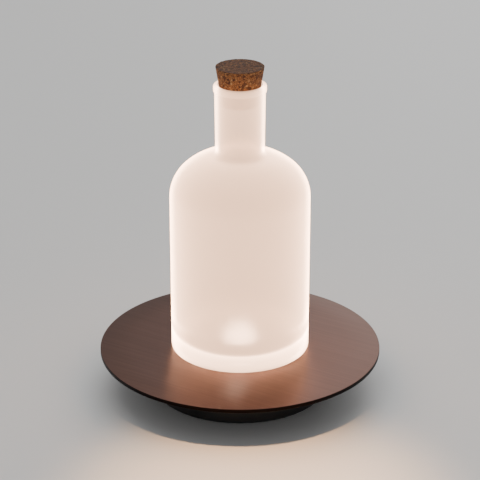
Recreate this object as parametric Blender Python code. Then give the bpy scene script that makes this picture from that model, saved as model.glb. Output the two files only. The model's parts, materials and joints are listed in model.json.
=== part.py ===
"""Frosted bottle lamp on a round metal plate, with its light source and electronics in a black foot.

Blender 4.5 script: blender --background --python part.py
The frame is +Z up, with the origin on the surface that the lamp stands on, at the bottle's axis.
Sizes are in millimetres here, and each shape is scaled to metres as it is made.
The service side, with the charging inlet and the power button, faces +Y.
"""

import math

import bmesh
import bpy
from mathutils import Matrix, Vector

MM = 0.001
GAP = 0.3  # air between two pieces that rest on each other
SCREW_CLEARANCE = 0.35  # radial room around a screw's shank
SCREW_EDGE = 0.3
SOCKET_SHARE = 0.45  # of the head's radius
SOCKET_DEPTH = 0.6  # of the head's height
SCREW_SIDES = 10
HOLE_SIDES = 12
HEAD_SIDES = 16  # of a hole for a screw head

# Whole lamp
STAND_HEIGHT = 28.8  # from the table to the top of the plate

# Bottle
BODY_RADIUS = 44.0
BOTTLE_HEIGHT = 175.1
BODY_WALL = 3.0
SHOULDER_Z = 101.8  # where the straight body ends
SHOULDER_RADIUS = 25.6
CROWN_RADIUS = 40.7  # the flatter arc from the shoulder up to the neck
CROWN_START = 49.0  # degrees
NECK_RADIUS = 15.3
NECK_WALL = 2.6
NECK_FILLET = 3.0
LIP_HEIGHT = 4.4
LIP_OVERHANG = 1.15
LIP_ROUND = 0.7
MOUTH_FLARE_DEPTH = 4.5
HEEL_ROUND = 1.5
BEARING_WIDTH = 6.5  # flat ring that the bottle stands on
BASE_THICKNESS = 4.5
DOME_CLEARANCE = 1.0  # between the light dome and the hollow under the bottle
FLOOR_TURN = 60.0  # degrees of the floor's dome before its valley
FLOOR_SPREAD = 1.0  # how much wider the floor's dome is than the hollow below it
FLOOR_RISE = 0.5  # and how much taller

# Stopper
STOPPER_LENGTH = 24.9
STOPPER_STANDS_OUT = 11.5
STOPPER_TAPER = 0.169  # radius lost per millimetre of length
STOPPER_EDGE = 0.5

# Plate
PLATE_RADIUS = 90.0
PLATE_THICKNESS = 2.6
PLATE_CHAMFER = 0.3
PLATE_SCREW_ANGLES = (90, 210, 330)

# Silicone ring that seats and centres the bottle
SEAT_PROUD = 0.2
SEAT_SUNK = 0.8
SEAT_WIDTH = 6.5
SEAT_RIM_WIDTH = 1.8
SEAT_RIM_HEIGHT = 2.2
SEAT_RIM_EDGE = 0.6
SEAT_RIM_CLEARANCE = 1.0

# Foot
FOOT_RADIUS = 56.75
FOOT_WALL = 2.5
FOOT_DECK = 3.0  # the wall that carries the plate
FOOT_EDGE = 0.5
SINK_HOLE_FLOOR = 0.7  # metal left above the blind holes for the heat sink's screws
PAD_PROUD = 0.8
COVER_THICKNESS = 2.4
COVER_CLEARANCE = 0.6
PAD_THICKNESS = 1.5
PAD_WIDTH = 3.8
PAD_EDGE = 1.2  # from the cover's edge to the pad
POST_INSET = 9.75  # from the wall's inside to a post's axis
POST_RADIUS = 4.0
POST_ANGLES = (45, 135, 225, 315)
POST_HOLE_DEPTH = 9.0

# Service panel at the back of the foot
PANEL_SET_BACK = 1.75  # behind the foot's round face
PANEL_THICKNESS = 2.5
PANEL_LINER = 2.0  # thickness of the flat wall's inner part
PANEL_OVERLAP = 1.2  # of that part into the round wall, on each side
PANEL_LOW_MARGIN = 2.6  # below the board
PANEL_POCKET_HEIGHT = 12.0

# Light source
LED_DECK_DROP = 1.4  # from the plate's top down to the heat sink's
LED_BOARD_THICKNESS = 1.6
LED_BOARD_MARGIN = 0.3  # narrower than the heat sink by this
LED_SIDE = 10.0
LED_THICKNESS = 1.2
LED_ROUND_RADIUS = 4.2
LED_ROUND_HEIGHT = 0.6
LENS_DOME_RADIUS = 10.2
LENS_WALL = 2.0
LENS_FLANGE = 1.8
LENS_FLANGE_WIDTH = 1.8
LENS_RING_TOP = 1.5
LENS_RING_CLEARANCE = 0.4
LENS_RING_WIDTH = 4.9
LENS_RING_EDGE = 0.5
LENS_SCREW_ANGLES = (0, 180)
SINK_FLANGE = 2.5
SINK_FLANGE_WIDTH = 9.4
SINK_CORE_RADIUS = 9.0
SINK_SCREW_INSET = 4.0  # from the flange's edge
SINK_SCREW_ANGLES = (30, 150, 270)
FIN_OVERHANG = 0.9
FIN_THICKNESS = 1.4
FIN_PITCH = 3.4
FIN_COUNT = 1

# Control board
BOARD_OVER_BATTERY = 2.0
BOARD_THICKNESS = 1.6
BOARD_CLEARANCE = 0.5  # to the posts and to the pressed button
BOARD_HOLE_CLEARANCE = 4.5  # round the heat sink's fins
TONGUE_HALF_WIDTH = 16.0
BOARD_SCREW_INSET = 5.0  # from the board's edge
BOARD_SCREW_ANGLES = (30, 150, 270)
STANDOFF_RADIUS = 3.2

# Charging inlet and power button
INLET_X = -6.5
INLET_WIDTH = 9.0
INLET_HEIGHT = 3.2
INLET_LENGTH = 9.3
INLET_SHELL = 0.35
INLET_TONGUE = (6.6, 0.7, 5.2)  # contact blade: width, height, length
PORT_CLEARANCE = 0.4
BUTTON_X = 8.0
BUTTON_RADIUS = 2.6
BUTTON_PROUD = 1.0
BUTTON_EDGE = 0.4
BUTTON_FLANGE = 1.0  # wider than the shaft by this
BUTTON_FLANGE_THICKNESS = 1.7
BUTTON_CLEARANCE = 0.35
SWITCH_WIDTH = 6.0
SWITCH_LENGTH = 3.7
PLUNGER_RADIUS = 1.0
PLUNGER_REACH = 1.0  # out of the switch
PLUNGER_DEPTH = 1.5  # into the switch
BUTTON_TRAVEL = 0.6

# Battery and wires
BATTERY_SIZE = (50.0, 34.0, 8.0)
BATTERY_Y = -4.0
BATTERY_PAD = 0.8
BATTERY_PAD_MARGIN = 4.0
BATTERY_WIRE_OUT = 3.6  # from the cell's end to where its wires turn up through the board
BATTERY_SLOT = 1.7  # half the width of the wires' slot in the board
CRADLE_WALL = 1.5
CRADLE_HEIGHT = 4.0
WIRE_RADIUS = 0.65
WIRE_PAIR = 2.2  # half the distance between the two LED wires
WIRE_BEND = 1.6
WIRE_HOLE_CLEARANCE = 0.3
LED_WIRE_INSET = 1.2  # outside the lens's flange
CONNECTOR_SIZE = (7.5, 5.0, 4.6)
LED_CONNECTOR_CLEARANCE = 2.0
BATTERY_CONNECTOR_CLEARANCE = 2.4  # from its wires' rise to its face
BATTERY_WIRE_Y = (-15.0, -12.0)
CONTROLLER_SIZE = (9.0, 12.0, 2.2)
CONTROLLER_PLACE = (-32.0, -8.0)
CHARGER_SIZE = (4.0, 4.0, 0.9)
CHARGER_PLACE = (-7.0, 36.0)
DRIVER_SIZE = (5.0, 4.0, 1.5)
DRIVER_PLACE = (9.0, 31.0)
INDUCTOR_SIZE = (6.0, 6.0, 3.0)
INDUCTOR_PLACE = (18.0, 27.0)
CAPACITOR_SIZE = (3.15, 5.4)  # radius, height
CAPACITOR_GROOVE = 0.4
CAPACITOR_PLACE = (15.0, -31.0)

# Fasteners: shank radius, head radius, head height, length under the head or over all when countersunk
M3_COUNTERSUNK = (1.4, 2.8, 1.5, 5.0)
M3_PAN = (1.4, 2.6, 1.2, 8.0)
M3_SHORT = (1.4, 2.4, 1.4, 4.6)
M25_PAN = (1.1, 2.1, 1.3, 5.0)
M2_PAN = (0.9, 1.7, 1.2, 8.0)

# Light source, outwards from the dome
LENS_FLANGE_RADIUS = LENS_DOME_RADIUS + LENS_FLANGE_WIDTH
LED_BOARD_RADIUS = LENS_FLANGE_RADIUS + LENS_RING_CLEARANCE + LENS_RING_WIDTH
LENS_SCREW_CIRCLE = LED_BOARD_RADIUS - LENS_RING_WIDTH / 2
SINK_RADIUS = LED_BOARD_RADIUS + LED_BOARD_MARGIN
SINK_FLANGE_RADIUS = SINK_RADIUS + SINK_FLANGE_WIDTH
SINK_SCREW_CIRCLE = SINK_FLANGE_RADIUS - SINK_SCREW_INSET
FIN_RADIUS = SINK_RADIUS + FIN_OVERHANG
LIGHT_HOLE_RADIUS = SINK_RADIUS + PORT_CLEARANCE

# Foot, inwards from its wall
FOOT_INNER_RADIUS = FOOT_RADIUS - FOOT_WALL
POST_CIRCLE = FOOT_INNER_RADIUS - POST_INSET
PANEL_Y = FOOT_RADIUS - PANEL_SET_BACK
PANEL_INNER_Y = PANEL_Y - PANEL_THICKNESS
BUTTON_BACK_Y = PANEL_INNER_Y - GAP - BUTTON_FLANGE_THICKNESS
BOARD_RADIUS = POST_CIRCLE - POST_RADIUS - BOARD_CLEARANCE
BOARD_HOLE_RADIUS = FIN_RADIUS + BOARD_HOLE_CLEARANCE
BOARD_SCREW_CIRCLE = BOARD_RADIUS - BOARD_SCREW_INSET
TONGUE_END_Y = BUTTON_BACK_Y - BUTTON_TRAVEL - BOARD_CLEARANCE
LED_CONNECTOR_Y = SINK_FLANGE_RADIUS + LED_CONNECTOR_CLEARANCE + CONNECTOR_SIZE[1] / 2
LED_WIRE_Y = LENS_FLANGE_RADIUS + LED_WIRE_INSET
BATTERY_RISE_X = BATTERY_SIZE[0] / 2 + BATTERY_WIRE_OUT
BATTERY_CONNECTOR_X = BATTERY_RISE_X + BATTERY_CONNECTOR_CLEARANCE + CONNECTOR_SIZE[1] / 2

# Heights, from the table up
COVER_TOP_Z = PAD_PROUD + COVER_THICKNESS
BATTERY_PAD_Z = COVER_TOP_Z + GAP
BATTERY_Z = BATTERY_PAD_Z + BATTERY_PAD + GAP
BOARD_Z = BATTERY_Z + BATTERY_SIZE[2] + BOARD_OVER_BATTERY
BOARD_TOP_Z = BOARD_Z + BOARD_THICKNESS
PARTS_Z = BOARD_TOP_Z + GAP  # underside of what is soldered to the board
SERVICE_Z = PARTS_Z + INLET_HEIGHT / 2  # axis of the inlet and of the button
PLATE_Z = STAND_HEIGHT - PLATE_THICKNESS
DECK_TOP_Z = PLATE_Z - GAP
DECK_Z = DECK_TOP_Z - FOOT_DECK
SINK_FLANGE_Z = DECK_Z - GAP - SINK_FLANGE
LED_WIRE_DROP_Z = SINK_FLANGE_Z - (FIN_PITCH - FIN_THICKNESS) / 2
LED_DECK_Z = STAND_HEIGHT - LED_DECK_DROP
LED_BOARD_Z = LED_DECK_Z + GAP
LENS_Z = LED_BOARD_Z + LED_BOARD_THICKNESS + GAP
LENS_CENTRE_Z = LENS_Z + LENS_FLANGE
BOTTLE_Z = STAND_HEIGHT + SEAT_PROUD + GAP

# Bottle
PUNT_RADIUS = BODY_RADIUS - BEARING_WIDTH
PUNT_HEIGHT = LENS_CENTRE_Z + LENS_DOME_RADIUS + DOME_CLEARANCE - BOTTLE_Z
BORE_RADIUS = NECK_RADIUS - NECK_WALL
MOUTH_RADIUS = BORE_RADIUS + STOPPER_TAPER * MOUTH_FLARE_DEPTH
SEAT_RIM_RADIUS = PUNT_RADIUS - SEAT_RIM_CLEARANCE
SEAT_INNER_RADIUS = SEAT_RIM_RADIUS - SEAT_RIM_WIDTH
SEAT_OUTER_RADIUS = SEAT_INNER_RADIUS + SEAT_WIDTH
PLATE_SCREW_CIRCLE = (LIGHT_HOLE_RADIUS + SEAT_INNER_RADIUS - GAP) / 2


def clear_scene():
    for old in list(bpy.data.objects):
        bpy.data.objects.remove(old, do_unlink=True)


def material(name, colour, roughness, metallic=0.0, transmission=0.0, glow=None):
    made = bpy.data.materials.new(name)
    made.use_nodes = True
    shader = made.node_tree.nodes["Principled BSDF"]
    shader.inputs["Base Color"].default_value = (*colour, 1.0)
    shader.inputs["Roughness"].default_value = roughness
    shader.inputs["Metallic"].default_value = metallic
    shader.inputs["Transmission Weight"].default_value = transmission
    if glow:
        shader.inputs["Emission Color"].default_value = (*glow, 1.0)
        shader.inputs["Emission Strength"].default_value = 1.0
    made.diffuse_color = (*colour, 1.0)
    return made


def empty(name, location, parent=None):
    made = bpy.data.objects.new(name, None)
    made.location = Vector(location) * MM
    bpy.context.scene.collection.objects.link(made)
    made.parent = parent
    return made


def link(name, bm, finish, at=(0, 0, 0), parent=None, smooth=35.0):
    """Makes an object from a bmesh in millimetres, at a place in the lamp's frame."""
    bmesh.ops.scale(bm, vec=(MM, MM, MM), verts=bm.verts)
    mesh = bpy.data.meshes.new(name)
    bm.to_mesh(mesh)
    bm.free()
    mesh.shade_smooth()
    mesh.set_sharp_from_angle(angle=math.radians(smooth))
    made = bpy.data.objects.new(name, mesh)
    made.data.materials.append(finish)
    bpy.context.scene.collection.objects.link(made)
    place = Vector(at) * MM
    if parent:
        made.parent = parent
        place -= parent.location
    made.location = place
    return made


def arc(centre_r, centre_z, radius, start, end, count):
    """Points (r, z) on an arc, in degrees anticlockwise from the +r direction, ends included."""
    steps = [math.radians(start + (end - start) * i / count) for i in range(count + 1)]
    return [(centre_r + radius * math.cos(a), centre_z + radius * math.sin(a)) for a in steps]


def spun(profile, segments):
    """A closed solid turned from a profile of (r, z) points about Z. A ring's profile is a closed loop;
    a solid's starts and ends on the axis."""
    bm = bmesh.new()
    verts = [bm.verts.new((r, 0.0, z)) for r, z in profile]
    on_axis = profile[0][0] == 0.0 and profile[-1][0] == 0.0
    edges = [bm.edges.new(pair) for pair in zip(verts, verts[1:])]
    if not on_axis:
        edges.append(bm.edges.new((verts[-1], verts[0])))
    bmesh.ops.spin(
        bm,
        geom=verts + edges,
        cent=(0, 0, 0),
        axis=(0, 0, 1),
        angle=2 * math.pi,
        steps=segments,
        use_merge=True,
    )
    bmesh.ops.remove_doubles(bm, verts=bm.verts, dist=1e-4)
    bmesh.ops.dissolve_degenerate(bm, dist=1e-5, edges=bm.edges)
    bmesh.ops.recalc_face_normals(bm, faces=bm.faces)
    return bm


def disc(radius, low, high, edge=0.0):
    """Outline of a solid disc, with both edges chamfered where an edge is given."""
    if not edge:
        return [(0.0, low), (radius, low), (radius, high), (0.0, high)]
    return [(0.0, low), (radius - edge, low), (radius, low + edge), (radius, high - edge),
            (radius - edge, high), (0.0, high)]


def block(size, edge=0.0):
    """A box centred on the origin, with its edges rounded by one facet."""
    bm = bmesh.new()
    bmesh.ops.create_cube(bm, size=1.0)
    bmesh.ops.scale(bm, vec=size, verts=bm.verts)
    if edge:
        bmesh.ops.bevel(bm, geom=bm.edges, offset=edge, segments=1, affect="EDGES")
    return bm


def on_circle(radius, degrees, z=0.0):
    turn = math.radians(degrees)
    return Vector((radius * math.cos(turn), radius * math.sin(turn), z))


CUTTER_FINISH = None


def apply_boolean(target, bm, at, operation="DIFFERENCE", turn=None):
    """Cuts a helper shape out of a piece, or joins it on. The helper isn't part of the lamp."""
    helper = link(f"{operation.lower()}_{target.name}", bm, CUTTER_FINISH, at)
    if turn:
        helper.rotation_euler = turn
    helper.hide_render = True
    helper.display_type = "WIRE"
    step = target.modifiers.new(f"{operation.title()} {len(target.modifiers) + 1}", "BOOLEAN")
    step.operation = operation
    step.solver = "EXACT"
    step.object = helper
    return helper


def screw_shape(spec, countersunk=False):
    """A screw with a round driver socket. Z = 0 is under a pan head, and on top of a countersunk one."""
    shank, head, height, length = spec
    socket = SOCKET_SHARE * head
    if countersunk:
        top = 0.0
        under = [(shank, -height), (head, -SCREW_EDGE), (head, top)]
    else:
        top = height
        under = [(shank, 0.0), (head, 0.0), (head, top)]
    floor = top - SOCKET_DEPTH * height
    drive = [(socket, top), (socket, floor), (0.0, floor)]
    tip = [(0.0, -length), (shank - SCREW_EDGE, -length), (shank, SCREW_EDGE - length)]
    return spun([*tip, *under, *drive], SCREW_SIDES)


def screws(name, spec, circle, angles, z, finish, parent, countersunk=False, upward=False):
    for number, degrees in enumerate(angles, 1):
        place = on_circle(circle, degrees, z)
        made = link(f"{name}_{number}", screw_shape(spec, countersunk), finish, place, parent)
        if upward:
            made.rotation_euler = (math.pi, 0, 0)


def drill(target, radius, places, low, high, segments=HOLE_SIDES):
    """Cuts round holes along Z at several places (x, y)."""
    for x, y in places:
        apply_boolean(target, spun(disc(radius, low, high), segments), (x, y, 0))


def circle_places(radius, angles):
    return [tuple(on_circle(radius, degrees))[:2] for degrees in angles]


def wire(name, route, finish, parent):
    """A round wire through the route's points, with its corners rounded."""
    curve = bpy.data.curves.new(name, "CURVE")
    curve.dimensions = "3D"
    curve.bevel_depth = WIRE_RADIUS * MM
    curve.bevel_resolution = 1
    curve.use_fill_caps = True
    points = [Vector(route[0])]
    for before, corner, after in zip(route, route[1:], route[2:]):
        corner = Vector(corner)
        back = (Vector(before) - corner).normalized() * WIRE_BEND
        ahead = (Vector(after) - corner).normalized() * WIRE_BEND
        for share in (0.0, 0.25, 0.5, 0.75, 1.0):
            points.append(corner + back * (1 - share) ** 2 + ahead * share**2)
    points.append(Vector(route[-1]))
    spline = curve.splines.new("POLY")
    spline.points.add(len(points) - 1)
    for place, point in zip(spline.points, points):
        place.co = (*(point * MM), 1.0)
    made = bpy.data.objects.new(name, curve)
    curve.materials.append(finish)
    bpy.context.scene.collection.objects.link(made)
    made.parent = parent
    return made


# Bottle


def dome(radius, height, base, degrees):
    """Points (r, z) on half of an elliptic dome, at angles measured from its top."""
    turns = [math.radians(angle) for angle in degrees]
    return [(radius * math.sin(turn), base + height * math.cos(turn)) for turn in turns]


def shoulder(depth):
    """Points up the shoulder and into the neck, on a surface at a depth inside the outer one."""
    body = BODY_RADIUS - SHOULDER_RADIUS
    first = SHOULDER_RADIUS - depth
    second = CROWN_RADIUS - depth
    start = math.radians(CROWN_START)
    crown_r = body + (first - second) * math.cos(start)
    crown_z = SHOULDER_Z + (first - second) * math.sin(start)
    fillet = NECK_FILLET + depth
    fillet_r = (BORE_RADIUS if depth else NECK_RADIUS) + fillet
    fillet_z = crown_z + math.sqrt((second + fillet) ** 2 - (fillet_r - crown_r) ** 2)
    meet = math.degrees(math.atan2(fillet_z - crown_z, fillet_r - crown_r))
    return [
        *arc(body, SHOULDER_Z, first, 0, CROWN_START, 5),
        *arc(crown_r, crown_z, second, CROWN_START, meet, 4)[1:],
        *arc(fillet_r, fillet_z, fillet, 180 + meet, 180, 3)[1:],
    ]


def bottle_outline():
    """Half of the bottle's outer outline, from the middle of its underside to its mouth."""
    lip_radius = NECK_RADIUS + LIP_OVERHANG
    lip_z = BOTTLE_HEIGHT - LIP_HEIGHT
    return [
        *dome(PUNT_RADIUS, PUNT_HEIGHT, 0, (0, 15, 30, 45, 60, 72, 82, 90)),
        *arc(BODY_RADIUS - HEEL_ROUND, HEEL_ROUND, HEEL_ROUND, -90, 0, 3),
        *shoulder(0.0),
        (NECK_RADIUS, lip_z),
        *arc(lip_radius - LIP_ROUND, lip_z + LIP_ROUND, LIP_ROUND, -90, 0, 2),
        *arc(lip_radius - 2 * LIP_ROUND, BOTTLE_HEIGHT - 2 * LIP_ROUND, 2 * LIP_ROUND, 0, 90, 3),
    ]


def bottle_cavity():
    """Half of the inner outline, from the mouth down to the middle of the floor."""
    wall_radius = BODY_RADIUS - BODY_WALL
    span_r = PUNT_RADIUS + FLOOR_SPREAD
    span_z = PUNT_HEIGHT + FLOOR_RISE
    base = BASE_THICKNESS - FLOOR_RISE
    floor = dome(span_r, span_z, base, [FLOOR_TURN * i / 4 for i in range(5)])
    end_r, end_z = floor[-1]
    slope = math.atan(span_z / span_r * math.tan(math.radians(FLOOR_TURN)))
    valley = (wall_radius - end_r) / (1 + math.sin(slope))
    valley_z = end_z + valley * math.cos(slope)
    return [
        (MOUTH_RADIUS, BOTTLE_HEIGHT),
        (BORE_RADIUS, BOTTLE_HEIGHT - MOUTH_FLARE_DEPTH),
        *shoulder(BODY_WALL)[::-1],
        *arc(wall_radius - valley, valley_z, valley, 0, -90 - math.degrees(slope), 5),
        *floor[-2::-1],
    ]


def make_bottle(parent):
    glass = material("frosted glass", (0.93, 0.86, 0.80), 0.45, transmission=1.0)
    outline = bottle_outline() + bottle_cavity()
    link("bottle", spun(outline, 40), glass, (0, 0, BOTTLE_Z), parent)


def make_stopper(parent):
    """A tapered cork that clears the flared mouth, whose slope it shares."""
    cork = material("agglomerated cork", (0.32, 0.17, 0.08), 0.9)
    top = BOTTLE_HEIGHT + STOPPER_STANDS_OUT
    low = top - STOPPER_LENGTH
    top_radius = MOUTH_RADIUS - GAP + STOPPER_TAPER * STOPPER_STANDS_OUT
    foot_radius = top_radius - STOPPER_TAPER * STOPPER_LENGTH
    outline = [(0.0, low), (foot_radius - STOPPER_EDGE, low), (foot_radius, low + STOPPER_EDGE),
               (top_radius, top - STOPPER_EDGE), (top_radius - STOPPER_EDGE, top), (0.0, top)]
    link("stopper", spun(outline, 32), cork, (0, 0, BOTTLE_Z), parent)


# Plate and seat


def make_plate(parent):
    bronze = material("brushed bronze-coloured aluminium", (0.30, 0.13, 0.08), 0.35, metallic=1.0)
    low, high = PLATE_Z, STAND_HEIGHT
    groove_in = SEAT_INNER_RADIUS - GAP
    groove_out = SEAT_OUTER_RADIUS + GAP
    outline = [
        (LIGHT_HOLE_RADIUS, low),
        (PLATE_RADIUS - PLATE_CHAMFER, low),
        (PLATE_RADIUS, low + PLATE_CHAMFER),
        (PLATE_RADIUS, high - PLATE_CHAMFER),
        (PLATE_RADIUS - PLATE_CHAMFER, high),
        (groove_out, high),
        (groove_out, high - SEAT_SUNK),
        (groove_in, high - SEAT_SUNK),
        (groove_in, high),
        (LIGHT_HOLE_RADIUS, high),
    ]
    plate = link("plate", spun(outline, 64), bronze, parent=parent)
    shank, head, height, _ = M3_COUNTERSUNK
    seat = head + SCREW_CLEARANCE
    hole = shank + SCREW_CLEARANCE
    sink = [(0.0, low - 1), (hole, low - 1), (hole, high - height - GAP), (seat, high - GAP),
            (seat, high + 1), (0.0, high + 1)]
    for x, y in circle_places(PLATE_SCREW_CIRCLE, PLATE_SCREW_ANGLES):
        apply_boolean(plate, spun(sink, HOLE_SIDES), (x, y, 0))
    screws("plate_screw", M3_COUNTERSUNK, PLATE_SCREW_CIRCLE, PLATE_SCREW_ANGLES, high - GAP, steel(),
           parent, countersunk=True)


def make_seat_ring(parent):
    silicone = material("grey silicone", (0.25, 0.25, 0.25), 0.7)
    low = STAND_HEIGHT - SEAT_SUNK + GAP
    high = STAND_HEIGHT + SEAT_PROUD
    top = high + SEAT_RIM_HEIGHT
    outline = [(SEAT_INNER_RADIUS, low), (SEAT_OUTER_RADIUS, low), (SEAT_OUTER_RADIUS, high),
               (SEAT_RIM_RADIUS, high), (SEAT_RIM_RADIUS, top - SEAT_RIM_EDGE),
               (SEAT_RIM_RADIUS - SEAT_RIM_EDGE, top), (SEAT_INNER_RADIUS, top)]
    link("seat_ring", spun(outline, 40), silicone, parent=parent)


# Light source


def make_heat_sink(parent):
    """An aluminium post with a flange under the foot's deck and a cooling fin below it."""
    aluminium = material("turned aluminium", (0.75, 0.75, 0.76), 0.3, metallic=1.0)
    flange_low = SINK_FLANGE_Z
    flange_top = flange_low + SINK_FLANGE
    outline = [(0.0, LED_DECK_Z), (SINK_RADIUS, LED_DECK_Z), (SINK_RADIUS, flange_top),
               (SINK_FLANGE_RADIUS, flange_top), (SINK_FLANGE_RADIUS, flange_low),
               (SINK_CORE_RADIUS, flange_low)]
    for number in range(1, FIN_COUNT + 1):
        fin_low = flange_low - number * FIN_PITCH
        fin_top = fin_low + FIN_THICKNESS
        outline += [(SINK_CORE_RADIUS, fin_top), (FIN_RADIUS, fin_top), (FIN_RADIUS, fin_low)]
        if number < FIN_COUNT:
            outline.append((SINK_CORE_RADIUS, fin_low))
    outline.append((0.0, outline[-1][1]))
    sink = link("heat_sink", spun(outline[::-1], 32), aluminium, parent=parent)
    shank = M3_SHORT[0]
    places = circle_places(SINK_SCREW_CIRCLE, SINK_SCREW_ANGLES)
    drill(sink, shank + SCREW_CLEARANCE, places, flange_low - 1, flange_top + 1)
    hole = WIRE_RADIUS + WIRE_HOLE_CLEARANCE
    drill(sink, hole, [(-WIRE_PAIR, LED_WIRE_Y), (WIRE_PAIR, LED_WIRE_Y)], flange_low - 1, LED_DECK_Z + 1)
    lens_holes = circle_places(LENS_SCREW_CIRCLE, LENS_SCREW_ANGLES)
    drill(sink, M2_PAN[0] + SCREW_CLEARANCE, lens_holes, LED_DECK_Z - M2_PAN[3] + 2, LED_DECK_Z + 1)
    screws("sink_screw", M3_SHORT, SINK_SCREW_CIRCLE, SINK_SCREW_ANGLES, flange_low - GAP,
           steel(), parent, upward=True)


def make_led(parent):
    white = material("white solder mask on aluminium", (0.85, 0.85, 0.83), 0.4)
    phosphor = material("LED phosphor", (1.0, 0.75, 0.25), 0.5, glow=(1.0, 0.72, 0.42))
    top = LED_BOARD_Z + LED_BOARD_THICKNESS
    board = link("led_board", spun(disc(LED_BOARD_RADIUS, LED_BOARD_Z, top), 32), white, parent=parent)
    through = (LED_BOARD_Z - 1, top + 1)
    hole = WIRE_RADIUS + WIRE_HOLE_CLEARANCE
    drill(board, hole, [(-WIRE_PAIR, LED_WIRE_Y), (WIRE_PAIR, LED_WIRE_Y)], *through)
    lens_screws = circle_places(LENS_SCREW_CIRCLE, LENS_SCREW_ANGLES)
    drill(board, M2_PAN[0] + SCREW_CLEARANCE, lens_screws, *through)
    middle = LENS_Z + LED_THICKNESS / 2
    package = block((LED_SIDE, LED_SIDE, LED_THICKNESS), 0.2)
    led = link("led_module", package, phosphor, (0, 0, middle), parent)
    phosphor_top = LED_THICKNESS / 2 + LED_ROUND_HEIGHT
    lit = [(0.0, 0.0), (LED_ROUND_RADIUS, 0.0), (LED_ROUND_RADIUS, phosphor_top - LED_ROUND_HEIGHT / 2),
           (LED_ROUND_RADIUS - LED_ROUND_HEIGHT, phosphor_top), (0.0, phosphor_top)]
    apply_boolean(led, spun(lit, 24), (0, 0, middle), "UNION")


def make_lens(parent):
    """The opal dome over the LED and the ring that holds it down."""
    opal = material("opal polycarbonate", (1.0, 0.96, 0.90), 0.5, transmission=0.6, glow=(1.0, 0.80, 0.58))
    black = material("black polycarbonate", (0.03, 0.03, 0.03), 0.5)
    inner = LENS_DOME_RADIUS - LENS_WALL
    centre = LENS_CENTRE_Z
    inside = [(0.0, centre + inner), *arc(0.0, centre, inner, 75, 0, 5)]
    outside = [*arc(0.0, centre, LENS_DOME_RADIUS, 0, 75, 5), (0.0, centre + LENS_DOME_RADIUS)]
    flange = [(inner, LENS_Z), (LENS_FLANGE_RADIUS, LENS_Z), (LENS_FLANGE_RADIUS, centre)]
    outline = [*inside, *flange, *outside]
    link("lens", spun(outline, 24), opal, parent=parent)
    rebate = LENS_FLANGE_RADIUS + LENS_RING_CLEARANCE
    opening = LENS_DOME_RADIUS + LENS_RING_CLEARANCE
    shelf = centre + GAP
    high = shelf + LENS_RING_TOP
    rim = LED_BOARD_RADIUS
    outline = [(rebate, LENS_Z), (rim, LENS_Z), (rim, high - LENS_RING_EDGE), (rim - LENS_RING_EDGE, high),
               (opening, high), (opening, shelf), (rebate, shelf)]
    ring = link("lens_ring", spun(outline, 32), black, parent=parent)
    shank, head, height, _ = M2_PAN
    places = circle_places(LENS_SCREW_CIRCLE, LENS_SCREW_ANGLES)
    drill(ring, shank + SCREW_CLEARANCE, places, LENS_Z - 1, high + 1)
    drill(ring, head + SCREW_CLEARANCE, places, high - height - GAP, high + 1, HEAD_SIDES)
    screws("lens_screw", M2_PAN, LENS_SCREW_CIRCLE, LENS_SCREW_ANGLES, high - height, steel(), parent)


# Foot


def stadium(width, height, length):
    """A bar along Y with a rounded-end section, from Y = 0 back to Y = -length."""
    bm = bmesh.new()
    radius = height / 2
    half = width / 2 - radius
    section = [*arc(half, 0, radius, -90, 90, 6), *arc(-half, 0, radius, 90, 270, 6)]
    face = bm.faces.new([bm.verts.new((x, 0.0, z)) for x, z in section])
    grown = bmesh.ops.extrude_face_region(bm, geom=[face])
    moved = [item for item in grown["geom"] if isinstance(item, bmesh.types.BMVert)]
    bmesh.ops.translate(bm, vec=(0, -length, 0), verts=moved)
    bmesh.ops.recalc_face_normals(bm, faces=bm.faces)
    return bm


def rod_y(outline, segments=24):
    """A turned shape whose axis lies along Y, with its outline's heights running towards -Y."""
    bm = spun(outline, segments)
    bmesh.ops.rotate(bm, cent=(0, 0, 0), matrix=Matrix.Rotation(math.radians(90), 3, "X"), verts=bm.verts)
    return bm


def make_foot(parent):
    black = material("black powder-coated aluminium", (0.012, 0.012, 0.013), 0.35)
    edge = FOOT_EDGE
    outline = [(FOOT_INNER_RADIUS, PAD_PROUD), (FOOT_RADIUS - edge, PAD_PROUD),
               (FOOT_RADIUS, PAD_PROUD + edge), (FOOT_RADIUS, DECK_TOP_Z - edge), (FOOT_RADIUS - edge, DECK_TOP_Z),
               (LIGHT_HOLE_RADIUS, DECK_TOP_Z), (LIGHT_HOLE_RADIUS, DECK_Z), (FOOT_INNER_RADIUS, DECK_Z)]
    foot = link("foot", spun(outline, 48), black, parent=parent)
    posts = circle_places(POST_CIRCLE, POST_ANGLES)
    post_low = COVER_TOP_Z + GAP
    for x, y in posts:
        apply_boolean(foot, spun(disc(POST_RADIUS, post_low, DECK_Z + 1), 20), (x, y, 0), "UNION")
    shank = M3_PAN[0] + SCREW_CLEARANCE
    drill(foot, shank, posts, post_low - 1, post_low + POST_HOLE_DEPTH)
    sink_places = circle_places(SINK_SCREW_CIRCLE, SINK_SCREW_ANGLES)
    drill(foot, shank, sink_places, DECK_Z - 1, DECK_TOP_Z - SINK_HOLE_FLOOR)
    drill(foot, shank, circle_places(PLATE_SCREW_CIRCLE, PLATE_SCREW_ANGLES), DECK_Z - 1, DECK_TOP_Z + 1)
    make_service_panel(foot)
    return foot


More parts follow.
